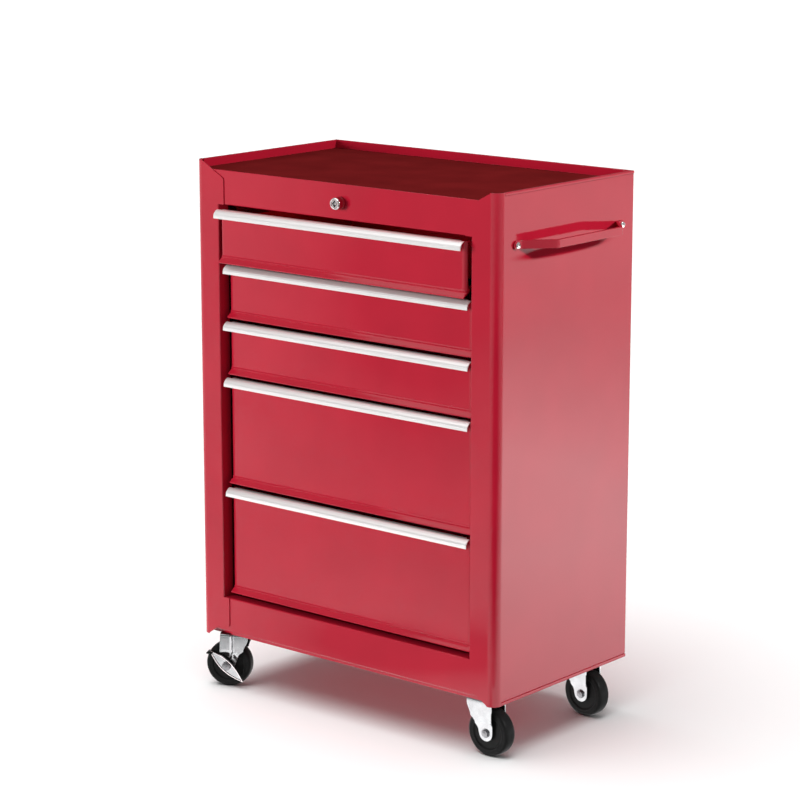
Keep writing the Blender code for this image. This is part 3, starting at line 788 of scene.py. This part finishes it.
def fork_path():
    """Middle line of the fork's strip, as (y, z): up one leg, over the wheel and down the other."""
    mid = FORK_OUT - FORK_T / 2
    shoulder = FORK_TOP - SHOULDER_R
    side = []
    for i in range(9):
        side.append((mid, WHEEL_R - TONGUE_R * math.cos(math.pi / 2 * i / 8)))
    for i in range(1, 15):
        side.append((mid, WHEEL_R + (shoulder - WHEEL_R) * i / 14))
    for i in range(1, 7):
        a = math.pi / 2 * i / 6
        side.append((mid - SHOULDER_R * (1 - math.cos(a)), shoulder + SHOULDER_R * math.sin(a)))
    return [(-y, z) for y, z in side] + [(0.0, FORK_TOP)] + side[::-1]


def fork(name, place, groove):
    """Pressed fork: a strip bent over the wheel, swelling round its shoulders, with a ball race on top."""
    bm = bmesh.new()
    rows = [[bm.verts.new(p) for p in fork_row(y, z, groove)] for y, z in fork_path()]
    for here, there in zip(rows, rows[1:]):
        for i in range(len(here) - 1):
            bm.faces.new((here[i], here[i + 1], there[i + 1], there[i]))
    bmesh.ops.remove_doubles(bm, verts=bm.verts, dist=1e-6)
    obj = mesh_object("fork", bm)
    thick = obj.modifiers.new("sheet", "SOLIDIFY")
    thick.thickness = FORK_T
    thick.offset = 0.0
    apply_modifiers(obj)
    race = rounded([(0.0008, 0.0860), (0.0150, 0.0860), (0.0150, 0.0876, 0.0004),
                    (0.0115, 0.0884, 0.0004), (0.0008, 0.0884)], 4, closed=False)
    edit(obj, lambda bm: turned(bm, race, "Z", 40))
    piece(obj, name + "_bracket", name + "_swivel", [ZINC], [name + "_fork"], place,
          bevel=0.0003, sharp=50)


def wheel(name, place):
    """Moulded wheel: hub, recessed web, ring groove, rounded rim and crowned tread."""
    w = WHEEL_W / 2
    hub = [(AXLE_R + 0.0004, w + 0.0010), (0.0092, w + 0.0010, 0.0004), (0.0106, w - 0.0016, 0.0008)]
    web = [(0.0238, w - 0.0018, 0.0006), (0.0258, w - 0.0001, 0.0008)]
    ring = [(0.0288, w, 0.0004), (0.0293, w - 0.0004, 0.0003), (0.0299, w, 0.0004)]
    rim = [(0.0328, w - 0.0002, 0.0012), (0.0349, w - 0.0016, 0.0016), (0.0357, w - 0.0042, 0.0020)]
    half = hub + web + ring + rim + [(WHEEL_R, w - 0.0080, 0.0100)]
    profile = rounded(half + [(c[0], -c[1], *c[2:]) for c in reversed(half)], 4)
    bm = turned(bmesh.new(), profile, "Y", 72, closed=True)
    piece(mesh_object("wheel", bm), name + "_tyre", name + "_wheel", [WHEEL], [name + "_wheel"],
          place @ Matrix.Translation((TRAIL, 0, WHEEL_R)), sharp=50)


def axle(name, place, far):
    """Axle bolt: a hex nut with the bolt's end in it and a washer, on each side."""
    near = -FORK_OUT - GAP
    shaft = rounded([(0.0006, near - WASHER_T), (WASHER_R, near - WASHER_T, 0.0003),
                     (WASHER_R, near, 0.0002), (AXLE_R, near), (AXLE_R, far), (WASHER_R, far, 0.0002),
                     (WASHER_R, far + WASHER_T, 0.0003), (0.0006, far + WASHER_T)], 3, closed=False)
    bm = turned(bmesh.new(), shaft, "Y", 40)
    for sign, base in ((-1, near - 0.0006), (1, far + 0.0006)):
        nut = [(0.0060, base), (0.0060, base + sign * 0.0022), (0.0050, base + sign * 0.0028),
               (0.0032, base + sign * 0.0028)]
        turned(bm, nut, "Y", 6)
        tip = [(0.0030, base), (0.0030, base + sign * 0.0032, 0.0006), (0.0006, base + sign * 0.0034)]
        turned(bm, rounded(tip, 3, closed=False), "Y", 24)
    piece(mesh_object("axle", bm), name + "_bolt", name + "_swivel", [BOLT], [name + "_axle"],
          place @ Matrix.Translation((TRAIL, 0, WHEEL_R)), bevel=0.0002, sharp=50)


def eye(bm, reach, rise, y):
    """Ring of points round the axle: a long eye, or a circle where rise is 0."""
    ring = []
    for i in range(BRAKE_EYE):
        a = 2 * math.pi * i / BRAKE_EYE
        v = reach * math.sin(a)
        if rise:
            bow = 0.0004 + (rise - 0.0004) * abs(math.sin(a)) ** BRAKE_BOW
            v = math.copysign(bow, math.sin(a + 0.001))
        ring.append(bm.verts.new((reach * math.cos(a), y, v)))
    return ring


def brake(name, place):
    """Foot brake: an eye-shaped plate with a raised rim in chrome over a zinc dish as a painted highlight, a web
    behind it in black as painted shade, and a curled pedal.
    """
    here = place @ Matrix.Translation((TRAIL, 0, WHEEL_R)) @ Matrix.Rotation(BRAKE_ANGLE, 4, "Y")
    bore = (AXLE_R + GAP, 0.0)
    inner = (0.0325, 0.0074)
    outer = (0.0350, 0.0086)
    dish = BRAKE_Y - 0.0006
    rim = BRAKE_Y + 0.0012
    back = BRAKE_Y - 0.0016
    bm = bmesh.new()
    loops = [eye(bm, *bore, dish), eye(bm, *inner, dish), eye(bm, *inner, rim),
             eye(bm, *outer, rim), eye(bm, *outer, back), eye(bm, *bore, back)]
    for first, second in zip(loops, loops[1:] + loops[:1]):
        for i in range(BRAKE_EYE):
            j = (i + 1) % BRAKE_EYE
            bm.faces.new((first[i], first[j], second[j], second[i]))
    plate = mesh_object("plate", bm)
    # the rim gets chrome and the dish zinc: a painted highlight along the rim of one pressed plate
    piece(plate, name + "_plate", name, [CHROME, ZINC], [name], here, bevel=0.0002, sharp=50)
    paint(plate, lambda face: abs(face.calc_center_median().y - dish) < NEAR)

    # the steel web gets the black moulded material, as painted shade; the pedal is black plastic
    bm = bmesh.new()
    web = rounded([(0.0020, 0.0062, 0.001), (0.0160, 0.0044, 0.004), (0.0340, -0.0006), (0.0340, 0.0012),
                   (0.0160, 0.0064, 0.004), (0.0020, 0.0080, 0.001)], 3)
    prism(bm, web, "Y", BRAKE_INNER, dish)
    pedal = rounded([(0.0290, -0.0010, 0.001), (0.0335, -0.0026, 0.002), (0.0360, -0.0046, 0.0008),
                     (0.0374, -0.0030, 0.0008), (0.0345, -0.0002, 0.002), (0.0300, 0.0014, 0.001)], 4)
    prism(bm, pedal, "Y", BRAKE_INNER, 2 * BRAKE_INNER)
    piece(mesh_object("pedal", bm), name + "_pedal", name, [WHEEL], (), here, bevel=0.0003)


def caster(tag, braked):
    """One swivel caster, placed by its swivel and roll joints."""
    name = "caster_" + tag
    swivel = Vector(JOINTS[name + "_swivel"]["pos_m"])
    centre = Vector(JOINTS[name + "_roll"]["pos_m"])
    ahead = Vector((centre.x - swivel.x, centre.y - swivel.y, 0)).normalized()
    turn = math.atan2(ahead.y, ahead.x)
    place = Matrix.Translation((swivel.x, swivel.y, 0)) @ Matrix.Rotation(turn, 4, "Z")
    fork(name, place, braked)
    wheel(name, place)
    axle(name, place, 0.0236 if braked else FORK_OUT + GAP)
    if braked:
        brake(name + "_brake", place)


# ---- the CAD nodes that stay ---------------------------------------------------------------------
def dress_nodes():
    """Give each node that stays its material."""
    finish = {"red_paint": RED, "tray_paint": TRAY, "aluminium_trim": ALUMINIUM, "zinc_plate": ZINC,
              "chrome": CHROME, "wheel": WHEEL}
    slots = {part["node"]: part["material_slot"] for part in frame["record"]["subparts"]}
    for name, obj in frame["nodes"].items():
        if obj.hide_render:
            continue
        for i in range(max(1, len(obj.material_slots))):
            if not obj.material_slots:
                obj.data.materials.append(None)
            obj.material_slots[i].material = finish[slots[name]]


# ---- stage ---------------------------------------------------------------------------------------
def floor():
    """Plain pale floor, with a very slight unevenness of tone."""
    bm = bmesh.new()
    bmesh.ops.create_grid(bm, x_segments=8, y_segments=8, size=150.0)
    obj = mesh_object("floor", bm)
    base = (0.92, 0.92, 0.92)
    mat, bsdf = principled("pale_floor", base, 0.9)
    feed(bsdf, "Base Color", ramp(mat, noise(mat, 0.7, 2.0), shade(base, 0.985), base))
    bsdf.inputs["Specular IOR Level"].default_value = 0.0
    obj.data.materials.append(mat)
    obj.visible_diffuse = False
    return obj


def area_light(name, where, target, size, power):
    """A soft rectangular light aimed at a point."""
    data = bpy.data.lights.new(name, "AREA")
    data.shape = "RECTANGLE"
    data.size, data.size_y = size
    data.energy = power
    obj = bpy.data.objects.new(name, data)
    obj.location = where
    obj.rotation_euler = (Vector(target) - Vector(where)).to_track_quat("-Z", "Y").to_euler()
    bpy.context.scene.collection.objects.link(obj)
    obj.visible_camera = False
    return obj


def surroundings():
    """Pale surroundings for light and gloss, which the camera itself sees as plain white."""
    world = bpy.data.worlds.new("studio")
    bpy.context.scene.world = world
    world.use_nodes = True
    tree = world.node_tree
    around = tree.nodes["Background"]
    around.inputs["Color"].default_value = (1, 1, 1, 1)
    around.inputs["Strength"].default_value = WORLD
    backdrop = tree.nodes.new("ShaderNodeBackground")
    backdrop.inputs["Color"].default_value = (1, 1, 1, 1)
    seen = tree.nodes.new("ShaderNodeLightPath")
    mix = tree.nodes.new("ShaderNodeMixShader")
    tree.links.new(seen.outputs["Is Camera Ray"], mix.inputs[0])
    tree.links.new(around.outputs[0], mix.inputs[1])
    tree.links.new(backdrop.outputs[0], mix.inputs[2])
    tree.links.new(mix.outputs[0], tree.nodes["World Output"].inputs["Surface"])


def lights(ground):
    """A wash for the floor alone, then a crisp key from the right, a broad low fill from the left,
    a softer one from behind and a faint glow under the tray, all of which leave the floor out."""
    data = bpy.data.lights.new("floor_wash", "SUN")
    data.energy = 2.9
    data.angle = math.radians(60)
    wash = bpy.data.objects.new("floor_wash", data)
    wash.rotation_euler = Vector((0.1, 0.25, -1.0)).to_track_quat("-Z", "Y").to_euler()
    bpy.context.scene.collection.objects.link(wash)
    only_floor = bpy.data.collections.new("only_floor")
    only_floor.objects.link(ground)
    wash.light_linking.receiver_collection = only_floor

    middle = (0.0, 0.0, 0.45)
    key = area_light("key_right", (2.96, 0.585, 2.05), (0.31, 0.0, 0.60), (0.3, 0.3), 80)
    fill = area_light("fill_left", (-2.3, -4.3, 1.15), middle, (1.9, 1.4), 215)
    rear = area_light("fill_rear", (-2.2, 3.6, 1.3), middle, (1.9, 1.4), 120)
    inside = area_light("glow_inside", (0.0, -0.06, 0.722), (0.0, -0.16, 0.60), (0.42, 0.12), 0.35)
    not_floor = bpy.data.collections.new("not_floor")
    not_floor.objects.link(ground)
    not_floor.collection_objects[0].light_linking.link_state = "EXCLUDE"
    for light in (key, fill, rear, inside):
        light.light_linking.receiver_collection = not_floor
    for light in (fill, rear, inside):
        light.visible_glossy = False


def cards():
    """Glows and flags that only the gloss mirrors, and a painted shadow of the side handle in the panel's coat."""
    card = area_light("card_top", (-0.2, -1.0, 2.2), (0.0, -0.15, 0.45), (2.4, 1.6), 16)
    card.visible_diffuse = False

    straight = Matrix.Identity(4)
    along_right = Matrix.Rotation(math.radians(51), 4, "Z")
    along_left = Matrix.Rotation(math.radians(-136), 4, "Z")
    soft_card("pool_right", (1.13, 1.03, 0.004), along_right, (3.6, 1.7), 4.15, 0.8)
    soft_card("pool_far", (3.5, 4.0, 0.003), along_right, (3.2, 2.2), 2.1)
    soft_card("pool_edge", (0.325, 0.15, 0.006), straight, (0.12, 1.2), 0.9, 0.3)
    soft_card("pool_left", (-1.85, -1.30, 0.004), along_left, (2.2, 0.7), 1.5)
    soft_card("dim_front", (-0.18, -0.50, 0.005), straight, (0.42, 0.32), 0.5, 0.4)

    # black card just off the side panel under the handle, seen only by gloss: a painted shadow of the handle
    under_bar = Vector((RIGHT_HI.x + 0.003, 0.0, ORIGIN.z + HANDLE_Z - 0.0195))
    under_bar.y = ORIGIN.y + (HANDLE_Y[2] + HANDLE_Y[3]) / 2 - 0.012
    soft_card("flag_front", (0.50, -0.38, 0.38), upright(45), (0.45, 0.80), 0.0)
    soft_card("painted_shadow_handle", under_bar, upright(90), (0.135, 0.0105), 0.0, 0.12)
    soft_card("flag_left", (-0.78, -1.36, 0.50), upright(-38), (0.60, 0.60), 0.40)


def upright(degrees):
    """Rotation that stands a card up and turns it about the vertical."""
    return Matrix.Rotation(math.radians(degrees), 4, "Z") @ Matrix.Rotation(math.radians(90), 4, "X")


def soft_card(name, where, rotation, half_size, radiance, core=0.5):
    """A card with no visible edge that only gloss mirrors: a white glow, or a black flag.

    Its radiance is even where the fade from middle to edge is above core."""
    bm = bmesh.new()
    bmesh.ops.create_grid(bm, x_segments=1, y_segments=1, size=1.0)
    obj = mesh_object(name, bm)
    obj.matrix_world = Matrix.Translation(where) @ rotation @ Matrix.Diagonal((*half_size, 1, 1))
    mat = bpy.data.materials.new(name)
    mat.use_nodes = True
    tree = mat.node_tree
    tree.nodes.clear()
    place = tree.nodes.new("ShaderNodeTexCoord")
    blob = tree.nodes.new("ShaderNodeTexGradient")
    blob.gradient_type = "QUADRATIC_SPHERE"
    tree.links.new(place.outputs["Object"], blob.inputs["Vector"])
    fade = tree.nodes.new("ShaderNodeMapRange")
    fade.inputs["From Max"].default_value = core
    tree.links.new(blob.outputs["Fac"], fade.inputs["Value"])
    clear = tree.nodes.new("ShaderNodeBsdfTransparent")
    glow = tree.nodes.new("ShaderNodeEmission")
    glow.inputs["Strength"].default_value = radiance
    blend = tree.nodes.new("ShaderNodeMixShader")
    tree.links.new(fade.outputs["Result"], blend.inputs["Fac"])
    tree.links.new(clear.outputs["BSDF"], blend.inputs[1])
    tree.links.new(glow.outputs["Emission"], blend.inputs[2])
    out = tree.nodes.new("ShaderNodeOutputMaterial")
    tree.links.new(blend.outputs["Shader"], out.inputs["Surface"])
    obj.data.materials.append(mat)
    obj.visible_camera = False
    obj.visible_diffuse = False
    obj.visible_shadow = False
    obj.visible_transmission = False


def camera():
    """Camera at the front right, slightly above the cart."""
    data = bpy.data.cameras.new("camera")
    data.lens = 122.5
    data.sensor_width = 36.0
    obj = bpy.data.objects.new("camera", data)
    obj.location = (2.5433, -3.0584, 1.3475)
    target = Vector((-0.0434, 0.0138, 0.4629))
    obj.rotation_euler = (target - obj.location).to_track_quat("-Z", "Y").to_euler()
    bpy.context.scene.collection.objects.link(obj)
    bpy.context.scene.camera = obj


def main():
    """Build every piece, dress the rest, light it and set the camera."""
    for side in (1, -1):
        side_panel(side)
    top_tray()
    apron()
    bottom_rail()
    bottom_pan()
    side_handle()
    for index in range(1, DRAWER_COUNT + 1):
        drawer(index)
    lock()
    for tag, braked in (("fr", False), ("rr", False), ("fl", True), ("rl", True)):
        caster(tag, braked)
    dress_nodes()
    ground = floor()
    surroundings()
    lights(ground)
    cards()
    camera()
    bpy.context.scene.view_settings.view_transform = "Standard"


main()
